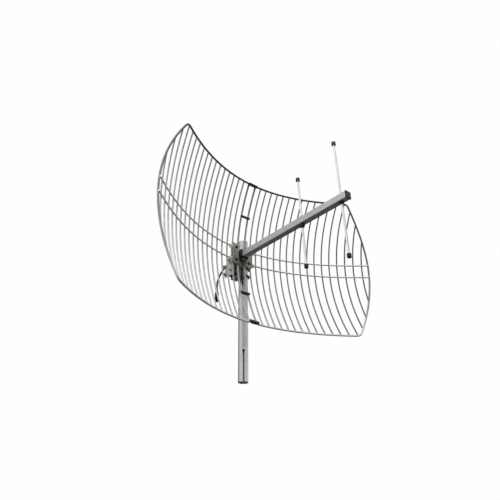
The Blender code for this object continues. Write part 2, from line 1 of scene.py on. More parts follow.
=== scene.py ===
"""The parabolic grid antenna's looks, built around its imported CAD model."""

import math
import random

import bmesh
import bpy
import numpy as np
from mathutils import Matrix, Vector


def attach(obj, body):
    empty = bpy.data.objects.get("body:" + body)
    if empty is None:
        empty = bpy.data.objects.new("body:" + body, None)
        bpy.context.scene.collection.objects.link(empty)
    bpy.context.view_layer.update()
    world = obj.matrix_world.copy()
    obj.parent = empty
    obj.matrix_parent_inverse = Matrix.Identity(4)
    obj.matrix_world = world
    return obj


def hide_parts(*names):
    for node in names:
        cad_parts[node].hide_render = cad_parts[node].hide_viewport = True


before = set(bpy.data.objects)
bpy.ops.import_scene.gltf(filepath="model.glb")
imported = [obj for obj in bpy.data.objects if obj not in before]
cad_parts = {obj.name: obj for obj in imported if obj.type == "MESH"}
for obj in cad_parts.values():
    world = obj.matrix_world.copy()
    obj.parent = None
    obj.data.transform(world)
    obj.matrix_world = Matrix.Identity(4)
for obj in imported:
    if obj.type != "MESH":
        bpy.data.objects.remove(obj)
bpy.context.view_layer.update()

random.seed(7)

# The dish vertex, measured from the mast's foot, and the driving sizes of part.py
DISH = Vector((-0.0545, -0.0520, 0.4800))
GAP = 0.0003
FOCAL_X, FOCAL_Z = 0.285, 0.300
HALF_HEIGHT = 0.300
EDGE_X_MID, EDGE_X_END = 0.507, 0.412
SEAM_X = 0.0168
WIRE_PITCH, WIRE_COUNT, WIRE_R = 0.02762, 17, 0.0029
FRAME_R, RIB_R, RIB_Z, RIB_FRONT, RIB_IN = 0.0038, 0.0030, 0.027, 0.0052, 0.0490
EDGE_ROUND, SEAM_ROUND, SEAM_STRAIGHT = 0.016, 0.007, 0.285
RAIL_START, RAIL_MARGIN = 0.035, 0.025  # where the rails' straight runs begin, and how far short they end
TAB_X, TAB_Y, TAB_HALF_Z = (0.0225, 0.0620), (-0.0085, -0.0045), 0.008
RIB_BOLT_X, RIB_BOLT_END = 0.031, 0.0138
PLATE_FRONT, HUB_BACK = -0.0118, 0.0076
BOOM_HALF, BOOM_WALL, BOOM_FRONT, BOOM_REAR = 0.0125, 0.002, -0.554, 0.062
COLLAR_HALF, COLLAR_BOLT_Y = 0.0162, -0.018
SLEEVE_HALF, SLEEVE_BOLT_Y = 0.0155, 0.0130
BOOM_SCREW_Y = -0.245
ROD_R, DIPOLE_Y, DIPOLE_REACH, SUB_Y, SUB_REACH = 0.004, -0.344, 0.175, -0.527, (0.209, 0.224)
CAP_R, CAP_LENGTH, CAP_OVER = 0.0078, 0.0145, 0.0085
FEED_LEAN = math.radians(2.8)  # both rods lean this far towards -X
PIVOT_Y, LOCK_Y, CHEEK_OUT = 0.052, 0.037, 0.0164
MAST_X, MAST_Y, MAST_R, MAST_WALL, MAST_TOP = 0.0545, 0.052, 0.0193, 0.002, 0.103
UBOLT_Z, UBOLT_END, UBOLT_R = (-0.0235, -0.0560), -0.034, MAST_R + GAP + 0.004
SLIT_TOP, SLIT_WIDTH, SLIT_HOLE_R, SLIT_TURN = 0.116, 0.005, 0.005, -34.0
M6_R, M6_HEX_R, M6_HOLE_R, M6_PITCH = 0.003, 0.0057, 0.0034, 0.001
M6_HEAD, M6_NUT, RIB_HEAD_R = 0.004, 0.005, 0.0058
M8_R, M8_HEX_R, M8_PITCH, M8_NUT = 0.004, 0.0074, 0.00125, 0.0065
COAX_R = 0.0038
COAX_EXIT = Vector((0.0, 0.0725, -0.003))
CONNECTOR_Y, CONNECTOR_TOP = 0.1550, -0.0830
CRIMP_LENGTH, CONNECTOR_LENGTH = 0.0165, 0.0420

# --- Camera -----------------------------------------------------------------

CAMERA_SPOT = DISH + Vector((-1.1487, -1.4454, -0.9564))
CAMERA_TURN, CAMERA_TILT, CAMERA_ROLL = -39.618, -28.084, -0.368
CAMERA_LENS = 37.897


def build_camera():
    turn, tilt, roll = (math.radians(a) for a in (CAMERA_TURN, CAMERA_TILT, CAMERA_ROLL))
    back = Vector((math.sin(turn) * math.cos(tilt), -math.cos(turn) * math.cos(tilt), math.sin(tilt)))
    right = Vector((math.cos(turn), math.sin(turn), 0.0))
    up = back.cross(right)
    leaning = right * math.cos(roll) + up * math.sin(roll)
    up = up * math.cos(roll) - right * math.sin(roll)
    data = bpy.data.cameras.new("camera")
    data.lens = CAMERA_LENS
    data.sensor_width = 36.0
    data.clip_end = 50.0
    camera = bpy.data.objects.new("camera", data)
    place = Matrix((leaning, up, back)).transposed().to_4x4()
    place.translation = CAMERA_SPOT
    camera.matrix_world = place
    bpy.context.scene.collection.objects.link(camera)
    bpy.context.scene.camera = camera


# --- Materials ---------------------------------------------------------------


class Nodes:
    """A short way to write a material's nodes."""

    def __init__(self, name):
        self.material = bpy.data.materials.new(name)
        self.material.use_nodes = True
        self.tree = self.material.node_tree
        self.shader = self.tree.nodes["Principled BSDF"]
        coordinates = self.add("ShaderNodeTexCoord")
        self.spot = coordinates.outputs["Object"]

    def add(self, kind, **settings):
        node = self.tree.nodes.new(kind)
        for key, value in settings.items():
            setattr(node, key, value)
        return node

    def link(self, out, into):
        self.tree.links.new(out, into)

    def stretched(self, scale):
        """Object coordinates scaled on each axis."""
        mapping = self.add("ShaderNodeMapping")
        mapping.inputs["Scale"].default_value = scale
        self.link(self.spot, mapping.inputs["Vector"])
        return mapping.outputs["Vector"]

    def noise(self, scale, detail=4.0, rough=0.55, stretch=(1, 1, 1)):
        node = self.add("ShaderNodeTexNoise")
        node.inputs["Scale"].default_value = scale
        node.inputs["Detail"].default_value = detail
        node.inputs["Roughness"].default_value = rough
        self.link(self.stretched(stretch), node.inputs["Vector"])
        return node.outputs["Fac"]

    def cells(self, scale):
        node = self.add("ShaderNodeTexVoronoi")
        node.inputs["Scale"].default_value = scale
        self.link(self.stretched((1, 1, 1)), node.inputs["Vector"])
        return node.outputs["Color"]

    def ramp(self, value, stops):
        """Colours at positions, as (position, grey or colour)."""
        node = self.add("ShaderNodeValToRGB")
        points = node.color_ramp.elements
        while len(points) < len(stops):
            points.new(0.5)
        for point, (at, colour) in zip(points, stops):
            point.position = at
            colour = (colour,) * 3 if isinstance(colour, float) else colour
            point.color = (*colour, 1.0)
        self.link(value, node.inputs["Fac"])
        return node.outputs["Color"]

    def mix(self, factor, first, second, blend="MIX"):
        node = self.add("ShaderNodeMix", data_type="RGBA", blend_type=blend)
        for socket, value in ((node.inputs[0], factor), (node.inputs[6], first), (node.inputs[7], second)):
            if isinstance(value, (int, float)):
                socket.default_value = value
            elif isinstance(value, tuple):
                socket.default_value = (*value, 1.0)
            else:
                self.link(value, socket)
        return node.outputs[2]

    def axis(self, name):
        """The spot's place along one axis."""
        parts = self.add("ShaderNodeSeparateXYZ")
        self.link(self.spot, parts.inputs[0])
        return parts.outputs[name]

    def spread(self, value, low, high, start=0.0, stop=1.0):
        """A value between start and stop spread between two others."""
        node = self.add("ShaderNodeMapRange")
        node.inputs["From Min"].default_value = start
        node.inputs["From Max"].default_value = stop
        node.inputs["To Min"].default_value = low
        node.inputs["To Max"].default_value = high
        self.link(value, node.inputs["Value"])
        return node.outputs["Result"]

    def bump(self, *layers):
        """Bumps of (height, strength, distance), one on another."""
        normal = None
        for height, strength, distance in layers:
            node = self.add("ShaderNodeBump")
            node.inputs["Strength"].default_value = strength
            node.inputs["Distance"].default_value = distance
            self.link(height, node.inputs["Height"])
            if normal:
                self.link(normal, node.inputs["Normal"])
            normal = node.outputs["Normal"]
        self.link(normal, self.shader.inputs["Normal"])

    def set(self, **values):
        for key, value in values.items():
            socket = self.shader.inputs[key.replace("_", " ")]
            if isinstance(value, (int, float)):
                socket.default_value = value
            else:
                self.link(value, socket)


def galvanised(name, dark, light, upward, across, metallic=0.45):
    """Hot-dip zinc on steel: faint spangle, dull streaks and small dark specks. Its base colour is scaled by
    painted light and shade: shares that change up the dish, and others from its left edge to its right."""
    n = Nodes(name)
    spangle = n.ramp(n.cells(260.0), ((0.25, dark), (0.8, light)))
    cloud = n.noise(38.0, 5.0)
    tone = n.mix(n.spread(cloud, 0.15, 0.6), spangle, n.mix(0.5, light, dark))
    specks = n.ramp(n.noise(900.0, 2.0), ((0.28, 0.55), (0.36, 1.0)))
    high = n.spread(n.axis("Z"), 0.0, 1.0, DISH.z - HALF_HEIGHT, DISH.z + HALF_HEIGHT)
    right = n.spread(n.axis("X"), 0.0, 1.0, DISH.x - EDGE_X_MID, DISH.x + EDGE_X_MID)
    # Painted light and shade: the base colour is made darker up the dish and towards its right, not by wear.
    painted_shade = n.mix(1.0, n.ramp(high, upward), n.ramp(right, across), "MULTIPLY")
    n.set(
        Base_Color=n.mix(1.0, n.mix(0.6, tone, specks, "MULTIPLY"), painted_shade, "MULTIPLY"),
        Metallic=metallic,
        Roughness=n.spread(cloud, 0.42, 0.68),
    )
    n.bump((n.noise(420.0, 3.0), 0.18, 0.0004), (n.noise(60.0, 2.0), 0.12, 0.0008))
    return n.material


def drawn_metal(name, dark, light, stretch, metallic=0.75, rough=(0.26, 0.42), grain=0.10):
    """A drawn or extruded surface with fine lines along its length."""
    n = Nodes(name)
    lines = n.noise(700.0, 3.0, 0.6, stretch)
    cloud = n.noise(16.0, 5.0, 0.6)
    tone = n.mix(n.spread(cloud, 0.0, 0.9), dark, light)
    scuffs = n.ramp(n.noise(120.0, 6.0, 0.7, stretch), ((0.30, 0.72), (0.45, 1.0)))
    n.set(
        Base_Color=n.mix(0.7, tone, scuffs, "MULTIPLY"),
        Metallic=metallic,
        Roughness=n.spread(lines, *rough),
    )
    n.bump((lines, grain, 0.0003), (n.noise(45.0, 3.0), 0.06, 0.0006))
    return n.material


def plated(name, dark, light, metallic=0.7, rough=(0.32, 0.55), grain=300.0):
    """Plated or blackened steel with worn, lighter places."""
    n = Nodes(name)
    cloud = n.noise(90.0, 6.0, 0.62)
    tone = n.ramp(cloud, ((0.34, dark), (0.66, light)))
    fine = n.noise(grain * 4, 3.0)
    n.set(Base_Color=tone, Metallic=metallic, Roughness=n.spread(n.noise(grain), *rough))
    n.bump((fine, 0.10, 0.0002), (cloud, 0.08, 0.0005))
    return n.material


def cast(name, dark, light):
    """A rough galvanised casting or pressing."""
    n = Nodes(name)
    cloud = n.noise(55.0, 6.0, 0.65)
    tone = n.ramp(cloud, ((0.32, dark), (0.68, light)))
    grit = n.noise(850.0, 4.0, 0.7)
    stain = n.ramp(n.noise(22.0, 4.0), ((0.35, 0.70), (0.60, 1.0)))
    n.set(
        Base_Color=n.mix(0.6, tone, stain, "MULTIPLY"),
        Metallic=0.2,
        Roughness=n.spread(grit, 0.50, 0.78),
    )
    n.bump((grit, 0.28, 0.0004), (cloud, 0.20, 0.0010))
    return n.material


def moulded(name, dark, light, rough=(0.38, 0.56)):
    """Black moulded plastic with a fine texture and dust in places."""
    n = Nodes(name)
    grit = n.noise(1400.0, 2.0)
    dust = n.ramp(n.noise(70.0, 6.0, 0.7), ((0.48, dark), (0.78, light)))
    n.set(Base_Color=dust, Roughness=n.spread(grit, *rough))
    n.bump((grit, 0.16, 0.0002))
    return n.material


# Shares of the zinc's base colour, at places from the dish's foot to its top and from its left to its right.
# They are painted light and shade that set how light the rods look there, darker towards the top and the
# right, and aren't a wear pattern that is known to be real.
WIRE_UP = ((0.0, 1.0), (0.5, 0.70), (1.0, 0.56))
WIRE_ACROSS = ((0.0, 1.0), (0.3, 1.0), (0.55, 0.80), (0.8, 0.38), (1.0, 0.24))
RIB_UP = ((0.0, 1.0), (1.0, 1.0))
FRAME_UP = ((0.0, 1.0), (0.06, 0.85), (0.2, 0.42), (0.5, 0.27), (0.9, 0.16), (1.0, 0.10))
FRAME_ACROSS = ((0.0, 1.0), (1.0, 0.9))


def build_materials():
    zinc = ((0.54, 0.537, 0.525), (0.80, 0.797, 0.785))
    bright = ((0.80, 0.795, 0.78), (0.96, 0.955, 0.94))
    yellowish = ((0.30, 0.285, 0.250), (0.46, 0.44, 0.40))
    return {
        "wire": galvanised("galvanised_wire", *zinc, WIRE_UP, WIRE_ACROSS),
        "rib": galvanised("galvanised_rib", *bright, RIB_UP, FRAME_ACROSS),
        "frame": galvanised("galvanised_frame", *bright, FRAME_UP, FRAME_ACROSS),
        "mast": drawn_metal(
            "mast_metal", (0.56, 0.55, 0.525), (0.74, 0.73, 0.70), (1, 1, 0.03), 0.9, (0.20, 0.34), 0.05
        ),
        "boom": drawn_metal(
            "boom_metal", (0.44, 0.44, 0.445), (0.58, 0.58, 0.585), (1, 0.03, 1), 0.45, (0.30, 0.45)
        ),
        "rod": drawn_metal("rod_metal", (0.72, 0.72, 0.72), (0.86, 0.86, 0.86), (1, 1, 0.03), 0.35),
        "cast": cast("cast_bracket", (0.34, 0.342, 0.330), (0.52, 0.522, 0.51)),
        "clamp": cast("clamp_casting", (0.46, 0.46, 0.45), (0.64, 0.64, 0.63)),
        "plate": cast("rib_plate", *yellowish),
        "zinc": plated("zinc_plate", (0.26, 0.255, 0.235), (0.42, 0.41, 0.39)),
        "black": plated("black_oxide", (0.012, 0.012, 0.012), (0.035, 0.034, 0.032), 0.35),
        "nickel": plated("nickel_plate", (0.42, 0.41, 0.38), (0.60, 0.59, 0.56), 0.9, (0.18, 0.30)),
        "plastic": moulded("black_plastic", (0.008, 0.008, 0.008), (0.028, 0.028, 0.027)),
        "jacket": moulded("cable_jacket", (0.006, 0.006, 0.006), (0.018, 0.018, 0.018), (0.42, 0.62)),
        "brass": plated("contact_gold", (0.55, 0.40, 0.16), (0.70, 0.52, 0.22), 0.95, (0.2, 0.3)),
        "white": moulded("insulator_white", (0.70, 0.69, 0.66), (0.60, 0.58, 0.54), (0.35, 0.5)),
    }


# --- Meshes ------------------------------------------------------------------


def shape(name, bm, kind, body="reflector", stands_for=(), angle=35.0):
    """A piece of this mesh, measured from the dish vertex, that rides on a body."""
    bmesh.ops.recalc_face_normals(bm, faces=bm.faces)
    mesh = bpy.data.meshes.new(name)
    bm.to_mesh(mesh)
    bm.free()
    mesh.transform(Matrix.Translation(DISH))
    return finished(name, mesh, kind, body, stands_for, angle)


def finished(name, mesh, kind, body, stands_for, angle=35.0):
    obj = bpy.data.objects.new(name, mesh)
    bpy.context.scene.collection.objects.link(obj)
    mesh.materials.clear()
    mesh.materials.append(MATERIAL[kind])
    mesh.polygons.foreach_set("use_smooth", [True] * len(mesh.polygons))
    mesh.set_sharp_from_angle(angle=math.radians(angle))
    if stands_for:
        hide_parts(*stands_for)
    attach(obj, body)
    return obj


def evaluated(obj):
    """The object's mesh with its modifiers applied; the object itself goes."""
    bpy.context.view_layer.update()
    mesh = bpy.data.meshes.new_from_object(obj.evaluated_get(bpy.context.evaluated_depsgraph_get()))
    old = obj.data
    bpy.data.objects.remove(obj, do_unlink=True)
    if old.users == 0:
        bpy.data.meshes.remove(old)
    return mesh


def loose(bm, name="tool"):
    bmesh.ops.recalc_face_normals(bm, faces=bm.faces)
    mesh = bpy.data.meshes.new(name)
    bm.to_mesh(mesh)
    bm.free()
    obj = bpy.data.objects.new(name, mesh)
    bpy.context.scene.collection.objects.link(obj)
    return obj


def carved(bm, *cutters):
    """The shape with the cutters taken away."""
    obj = loose(bm)
    tools = [loose(cutter) for cutter in cutters]
    for tool in tools:
        modifier = obj.modifiers.new("cut", "BOOLEAN")
        modifier.operation = "DIFFERENCE"
        modifier.solver = "EXACT"
        modifier.object = tool
    mesh = evaluated(obj)
    for tool in tools:
        bpy.data.objects.remove(tool, do_unlink=True)
    made = bmesh.new()
    made.from_mesh(mesh)
    bpy.data.meshes.remove(mesh)
    return made


def merged(*shapes):
    """Several shapes as one mesh."""
    whole = bmesh.new()
    for bm in shapes:
        mesh = bpy.data.meshes.new("part")
        bmesh.ops.recalc_face_normals(bm, faces=bm.faces)
        bm.to_mesh(mesh)
        bm.free()
        whole.from_mesh(mesh)
        bpy.data.meshes.remove(mesh)
    return whole


def box(x, y, z):
    bm = bmesh.new()
    middle = Vector([(side[0] + side[1]) / 2 for side in (x, y, z)])
    size = [abs(side[1] - side[0]) for side in (x, y, z)]
    place = Matrix.Translation(middle) @ Matrix.Diagonal((*size, 1.0))
    bmesh.ops.create_cube(bm, size=1.0, matrix=place)
    return bm


def bar(start, end, radius, sides=24, turn=0.0):
    start, end = Vector(start), Vector(end)
    along = end - start
    place = Matrix.Translation((start + end) / 2) @ along.to_track_quat("Z", "Y").to_matrix().to_4x4()
    place = place @ Matrix.Rotation(math.radians(turn), 4, "Z")
    bm = bmesh.new()
    bmesh.ops.create_cone(
        bm, cap_ends=True, segments=sides, radius1=radius, radius2=radius, depth=along.length, matrix=place
    )
    return bm


def hexagon(start, end, radius, soft=0.0004):
    """A hexagonal prism with softened edges."""
    bm = bar(start, end, radius, 6, 30.0)
    bmesh.ops.bevel(bm, geom=list(bm.edges), offset=soft, segments=2, affect="EDGES", profile=0.5)
    return bm


def skinned(bm, rings, closed):
    """Rings of points joined in a row, which ends where it starts if closed, or else in two flat faces."""
    pairs = list(zip(rings, rings[1:]))
    if closed:
        pairs.append((rings[-1], rings[0]))
    else:
        bm.faces.new(rings[0])
        bm.faces.new(rings[-1])
    for low, high in pairs:
        for i in range(len(low)):
            j = (i + 1) % len(low)
            bm.faces.new((low[i], low[j], high[j], high[i]))
    return bm


def lathe(profile, start, direction, sides=32, closed=False):
    """A turned shape: profile is (distance along, radius) from start."""
    start = Vector(start)
    turn = Vector(direction).to_track_quat("Z", "Y").to_matrix()
    bm = bmesh.new()
    rings = []
    for along, radius in profile:
        ring = []
        for i in range(sides):
            angle = 2 * math.pi * i / sides
            spot = Vector((radius * math.cos(angle), radius * math.sin(angle), along))
            ring.append(bm.verts.new(start + turn @ spot))
        rings.append(ring)
    return skinned(bm, rings, closed)


def sweep(points, radius, sides, closed=False, up=(0, 0, 1)):
    """A round bar along the points."""
    points = [Vector(p) for p in points]
    count = len(points)
    bm = bmesh.new()
    rings = []
    across = Vector(up)
    for i, point in enumerate(points):
        if closed:
            along = (points[(i + 1) % count] - points[i - 1]).normalized()
        else:
            along = (points[min(i + 1, count - 1)] - points[max(i - 1, 0)]).normalized()
        across = (across - along * across.dot(along)).normalized()
        other = along.cross(across)
        ring = []
        for k in range(sides):
            angle = 2 * math.pi * k / sides
            ring.append(bm.verts.new(point + (across * math.cos(angle) + other * math.sin(angle)) * radius))
        rings.append(ring)
    return skinned(bm, rings, closed)


def thread(start, length, radius, pitch):
    """The profile of a threaded shank, from start along its length."""
    profile = []
    turns = int(length / pitch)
    for i in range(turns):
        at = start + i * pitch
        profile += [(at + pitch * 0.1, radius * 0.86), (at + pitch * 0.5, radius), (at + pitch * 0.6, radius)]
    profile.append((start + length, radius * 0.80))
    return profile


def refined(node, kind, width=0.0006, segments=2, body="reflector"):
    """A CAD node's own shape with its edges rounded."""
    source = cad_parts[node]
    bm = bmesh.new()
    bm.from_mesh(source.data)
    bm.transform(source.matrix_world)
    bmesh.ops.remove_doubles(bm, verts=bm.verts, dist=1e-6)
    bmesh.ops.dissolve_limit(bm, angle_limit=math.radians(0.6), verts=bm.verts, edges=bm.edges)
    obj = loose(bm)
    modifier = obj.modifiers.new("soft", "BEVEL")
    modifier.width = width
    modifier.segments = segments
    modifier.limit_method = "ANGLE"
    modifier.angle_limit = math.radians(35)
    modifier.use_clamp_overlap = True
    mesh = evaluated(obj)
    mesh.name = node + "_formed"
    return finished(node + "_formed", mesh, kind, body, (node,))


# --- Grid ----------------------------------------------------------------------


def surface(x, z, front=0.0):
    return Vector((x, -(x * x / (4 * FOCAL_X) + z * z / (4 * FOCAL_Z)) - front, z))


def edge_x(z):
    return EDGE_X_MID - (EDGE_X_MID - EDGE_X_END) * (z / HALF_HEIGHT) ** 2


def edge_z(x):
    if x < EDGE_X_END:
        return HALF_HEIGHT
    return HALF_HEIGHT * math.sqrt((EDGE_X_MID - x) / (EDGE_X_MID - EDGE_X_END))


def rounded(corner, before, after, radius, steps=8):
    corner, before, after = (np.array(p) for p in (corner, before, after))
    start = corner + (before - corner) / np.linalg.norm(before - corner) * radius
    end = corner + (after - corner) / np.linalg.norm(after - corner) * radius
    made = []
    for i in range(steps + 1):
        t = i / steps
        made.append(tuple((1 - t) ** 2 * start + 2 * t * (1 - t) * corner + t * t * end))
    return made


def frame_outline():
    top = HALF_HEIGHT
    near = top * 0.9
    outline = rounded((SEAM_X, -top), (EDGE_X_END, -top), (SEAM_X, top), SEAM_ROUND)
    outline += [(SEAM_X, z) for z in np.linspace(-SEAM_STRAIGHT, SEAM_STRAIGHT, 30)]
    outline += rounded((SEAM_X, top), (SEAM_X, -top), (EDGE_X_END, top), SEAM_ROUND)
    outline += [(x, top) for x in np.linspace(RAIL_START, EDGE_X_END - RAIL_MARGIN, 26)]
    outline += rounded((EDGE_X_END, top), (SEAM_X, top), (edge_x(near), near), EDGE_ROUND)
    outline += [(edge_x(z), z) for z in np.linspace(top * 0.92, -top * 0.92, 34)]
    outline += rounded((EDGE_X_END, -top), (edge_x(near), -near), (SEAM_X, -top), EDGE_ROUND)
    outline += [(x, -top) for x in np.linspace(EDGE_X_END - RAIL_MARGIN, RAIL_START, 26)]
    return outline


def bead(spot, size, stretch):
    """A weld bead: a small uneven blob."""
    bm = bmesh.new()
    bmesh.ops.create_icosphere(bm, subdivisions=1, radius=1.0)
    for vert in bm.verts:
        vert.co *= 1 + random.uniform(-0.12, 0.12)
        vert.co = Vector(spot) + Vector([c * size * s for c, s in zip(vert.co, stretch)])
    return bm


def grid_half(label, side):
    node = "grid_" + label
    outline = frame_outline()
    first = outline.index((SEAM_X, -SEAM_STRAIGHT))
    last = outline.index((SEAM_X, SEAM_STRAIGHT))
    seam = outline[first : last + 1]
    rails = outline[last:] + outline[: first + 1]
    for name, kind, path in (("_seam", "wire", seam), ("_frame", "frame", rails)):
        points = [surface(side * x, z) for x, z in path]
        shape(node + name, sweep(points, FRAME_R, 14, up=(0, 1, 0)), kind)
    wires = []
    beads = []
    for k in range(1, WIRE_COUNT + 1):
        x = SEAM_X + k * WIRE_PITCH
        reach = edge_z(x)
        line = [surface(side * x, z) for z in np.linspace(-reach, reach, 31)]
        wires.append(sweep(line, WIRE_R, 12, up=(1, 0, 0)))
        for z in (-reach, reach):
            inward = surface(side * x, z * (1 - 0.0048 / HALF_HEIGHT))
            beads.append(bead(inward, 0.0034, (1.12, 0.95, 1.1)))
        if x > RIB_IN:
            for z in (-RIB_Z, RIB_Z):
                beads.append(bead(surface(side * x, z, 0.0030), 0.0030, (1.1, 0.8, 1.25)))
    shape(node + "_wires", merged(*wires), "wire", stands_for=(node,))
    ribs = []
    outer = edge_x(RIB_Z)
    for z in (RIB_Z, -RIB_Z):
        line = [surface(side * x, z, RIB_FRONT) for x in np.linspace(RIB_IN, outer, 44)]
        ribs.append(sweep(line, RIB_R, 12))
        x_sides = sorted(side * x for x in TAB_X)
        tab = box(x_sides, TAB_Y, (z - TAB_HALF_Z, z + TAB_HALF_Z))
        bmesh.ops.bevel(tab, geom=list(tab.edges), offset=0.0007, segments=2, affect="EDGES", profile=0.5)
        hole = side * RIB_BOLT_X
        ribs.append(carved(tab, bar((hole, -0.02, z), (hole, 0.01, z), M6_HOLE_R)))
        beads.append(bead(surface(side * (outer - 0.001), z, 0.0030), 0.0038, (0.9, 0.9, 1.2)))
        beads.append(bead((side * (RIB_IN + 0.003), TAB_Y[0] + 0.0014, z), 0.0034, (1.5, 0.8, 1.2)))
    shape(node + "_ribs", merged(*ribs), "rib")
    shape(node + "_welds", merged(*beads), "wire", angle=80.0)


# --- Fasteners -------------------------------------------------------------------


def hex_bolt(node, head, end, radius, hex_r, head_length, pitch, threaded, body):
    """A hexagon bolt with a flange under its head and a rolled thread."""
    head, end = Vector(head), Vector(end)
    along = (end - head).normalized()
    length = (end - head).length
    start = length - threaded
    profile = [(-0.0005, radius), (start, radius)] + thread(start, threaded - 0.0006, radius, pitch)
    profile.append((length, radius * 0.72))
    flange = [(-0.0012, hex_r * 0.9), (-0.0010, hex_r * 1.08), (-0.00005, hex_r * 1.10), (0, hex_r * 1.06)]
    dished = carved(
        hexagon(head - along * head_length, head - along * 0.0006, hex_r),
        bar(head - along * (head_length + 0.001), head - along * (head_length - 0.0005), hex_r * 0.62, 32),
    )
    whole = merged(lathe(profile, head, along, 20), lathe(flange, head, along, 32), dished)
    shape(node + "_turned", whole, "zinc", body, (node,))


def nut(node, start, direction, radius, hex_r, thickness, body):
    """A flanged hexagon nut."""
    start, direction = Vector(start), Vector(direction)
    solid = hexagon(start + direction * 0.0004, start + direction * thickness, hex_r)
    bore = bar(start - direction * 0.002, start + direction * (thickness + 0.002), radius + 0.0002, 24)
    washer = [(0, hex_r * 1.08), (0.0012, hex_r * 1.10), (0.0014, hex_r * 1.04)]
    washer += [(0.0014, radius + 0.0002), (0, radius + 0.0002)]
    whole = merged(carved(solid, bore), lathe(washer, start, direction, 32, closed=True))
    shape(node + "_turned", whole, "zinc", body, (node,))


def socket_bolt(node, head, end, radius, head_r, head_length):
    """A black button-head bolt with a hexagon socket."""
    head, end = Vector(head), Vector(end)
    along = (end - head).normalized()
    length = (end - head).length
    top = head - along * head_length
    profile = [(0, head_r * 0.62), (head_length * 0.12, head_r * 0.80), (head_length * 0.40, head_r * 0.97)]
    profile += [(head_length * 0.7, head_r), (head_length, head_r), (head_length + 0.0001, radius)]
    profile += thread(head_length + length * 0.3, length * 0.7 - 0.0004, radius, M6_PITCH)
    profile.append((head_length + length, radius * 0.75))
    whole = carved(
        lathe(profile, top, along, 24),
        bar(top - along * 0.001, top + along * head_length * 0.6, radius * 0.72, 6),
    )
    shape(node + "_turned", whole, "black", "reflector", (node,))


def u_bolt(node, z):
    """A U-bolt round the mast, with a rolled thread on each leg."""
    radius = M8_R - 0.0001
    bend = []
    for i in range(33):
        angle = math.pi * (i / 32 - 0.5)
        bend.append((MAST_X + UBOLT_R * math.cos(angle), MAST_Y + UBOLT_R * math.sin(angle), z))
    smooth_to = CHEEK_OUT - 0.004
    path = [(smooth_to, MAST_Y - UBOLT_R, z)] + bend + [(smooth_to, MAST_Y + UBOLT_R, z)]
    legs = []
    for way in (-1, 1):
        length = smooth_to - UBOLT_END
        profile = [(-0.0008, radius * 0.9), (0, radius * 0.95)]
        profile += thread(0.0006, length - 0.0016, radius, M8_PITCH)
        profile.append((length, radius * 0.72))
        legs.append(lathe(profile, (smooth_to, MAST_Y + way * UBOLT_R, z), (-1, 0, 0), 24))
    whole = merged(sweep(path, radius, 20), *legs)
    shape(node + "_bent", whole, "zinc", "mast_clamp", (node,))


def build_fasteners():
    for label, side in (("left", -1), ("right", 1)):
        for level, z in (("upper", RIB_Z), ("lower", -RIB_Z)):
            x = side * RIB_BOLT_X
            head = (x, PLATE_FRONT - GAP, z)
            socket_bolt(f"rib_bolt_{label}_{level}", head, (x, RIB_BOLT_END, z), M6_R, RIB_HEAD_R, M6_HEAD)
            spot = (x, HUB_BACK + GAP, z)
            nut(f"rib_nut_{label}_{level}", spot, (0, 1, 0), M6_R, M6_HEX_R, M6_NUT, "reflector")
    for name, y, half in (("collar", COLLAR_BOLT_Y, COLLAR_HALF), ("sleeve", SLEEVE_BOLT_Y, SLEEVE_HALF)):
        end = (0, y, -half - 0.009)
        head = (0, y, half + GAP)
        hex_bolt(name + "_bolt", head, end, M6_R, M6_HEX_R, M6_HEAD, M6_PITCH, 0.018, "reflector")
        nut(name + "_nut", (0, y, -half - GAP), (0, 0, -1), M6_R, M6_HEX_R, M6_NUT, "reflector")
    for name, y, body in (("pivot", PIVOT_Y, "mast_clamp"), ("lock", LOCK_Y, "reflector")):
        head = (CHEEK_OUT + GAP, y, 0)
        hex_bolt(name + "_bolt", head, (-0.0265, y, 0), M6_R, M6_HEX_R, M6_HEAD, M6_PITCH, 0.016, body)
        nut(name + "_nut", (-CHEEK_OUT - GAP, y, 0), (-1, 0, 0), M6_R, M6_HEX_R, M6_NUT, body)
    for level, z in zip(("upper", "lower"), UBOLT_Z):
        u_bolt("clamp_ubolt_" + level, z)
        for place, way in (("front", -1), ("rear", 1)):
            spot = (-CHEEK_OUT - GAP, MAST_Y + way * UBOLT_R, z)
            name = f"clamp_nut_{place}_{level}"
            nut(name, spot, (-1, 0, 0), M8_R, M8_HEX_R, M8_NUT, "mast_clamp")


# --- Boom and feed -----------------------------------------------------------------


def rounded_square(half, radius, steps=5):
    points = []
    for k, (sx, sz) in enumerate(((1, 1), (-1, 1), (-1, -1), (1, -1))):
        for i in range(steps + 1):
            angle = math.pi / 2 * (k + i / steps)
            x = sx * (half - radius) + radius * math.cos(angle)
            z = sz * (half - radius) + radius * math.sin(angle)
            points.append((x, z))
    return points


